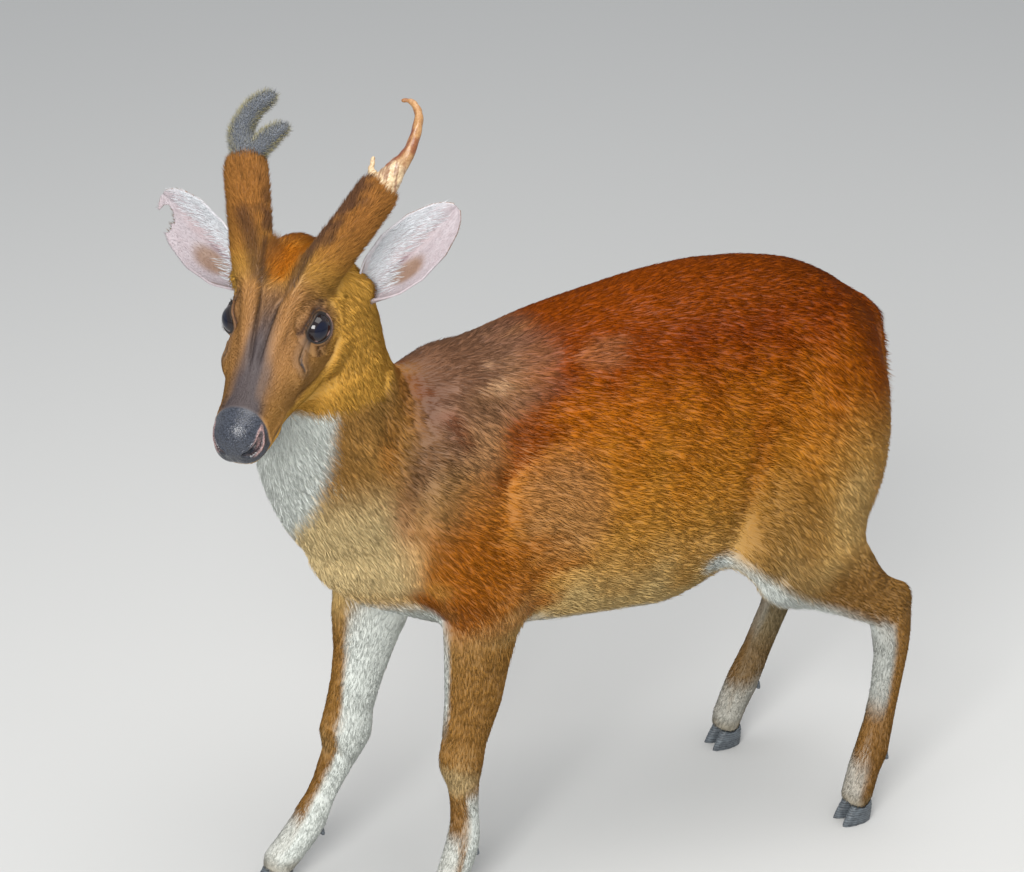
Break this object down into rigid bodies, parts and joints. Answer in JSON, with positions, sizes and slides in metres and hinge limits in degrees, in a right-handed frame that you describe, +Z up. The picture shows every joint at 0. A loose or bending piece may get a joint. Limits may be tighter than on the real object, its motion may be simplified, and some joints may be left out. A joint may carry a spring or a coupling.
{
  "type": "standing muntjac buck",
  "caption": "Life-size muntjac buck standing in mid-step with its head turned to its left; furred body, hooves, upright ears and small antlers on long pedicles.",
  "frame": {"origin": "on the floor, under the middle of the bounding box of the whole animal", "axes": "+X forwards along the trunk, +Y to the animal's left, +Z up"},
  "size_m": [0.7324, 0.2734, 0.8249],
  "materials": {
    "coat": "short dense hair",
    "ear_hair": "fine hair over skin",
    "eye": "wet gloss",
    "horn": "satin horn",
    "bare_antler": "satin bone",
    "velvet": "velvet skin with bristles"
  },
  "bodies": {
    "root": {"antler_left_beam": "bare_antler", "antler_left_tine": "bare_antler", "antler_right_beam": "velvet", "antler_right_tine": "velvet", "dewclaw_fore_left_inner": "horn", "dewclaw_fore_left_outer": "horn", "dewclaw_fore_right_inner": "horn", "dewclaw_fore_right_outer": "horn", "dewclaw_hind_left_inner": "horn", "dewclaw_hind_left_outer": "horn", "dewclaw_hind_right_inner": "horn", "dewclaw_hind_right_outer": "horn", "ear_left": "ear_hair", "ear_right": "ear_hair", "eye_left": "eye", "eye_right": "eye", "foreleg_left_cannon": "coat", "foreleg_left_forearm": "coat", "foreleg_left_pastern": "coat", "foreleg_left_shoulder": "coat", "foreleg_right_cannon": "coat", "foreleg_right_forearm": "coat", "foreleg_right_pastern": "coat", "foreleg_right_shoulder": "coat", "head": "coat", "hindleg_left_cannon": "coat", "hindleg_left_gaskin": "coat", "hindleg_left_pastern": "coat", "hindleg_left_thigh": "coat", "hindleg_right_cannon": "coat", "hindleg_right_gaskin": "coat", "hindleg_right_pastern": "coat", "hindleg_right_thigh": "coat", "hoof_fore_left_inner": "horn", "hoof_fore_left_outer": "horn", "hoof_fore_right_inner": "horn", "hoof_fore_right_outer": "horn", "hoof_hind_left_inner": "horn", "hoof_hind_left_outer": "horn", "hoof_hind_right_inner": "horn", "hoof_hind_right_outer": "horn", "neck": "coat", "pedicle_left": "coat", "pedicle_right": "coat", "tail": "coat", "torso": "coat"}
  },
  "joints": []
}
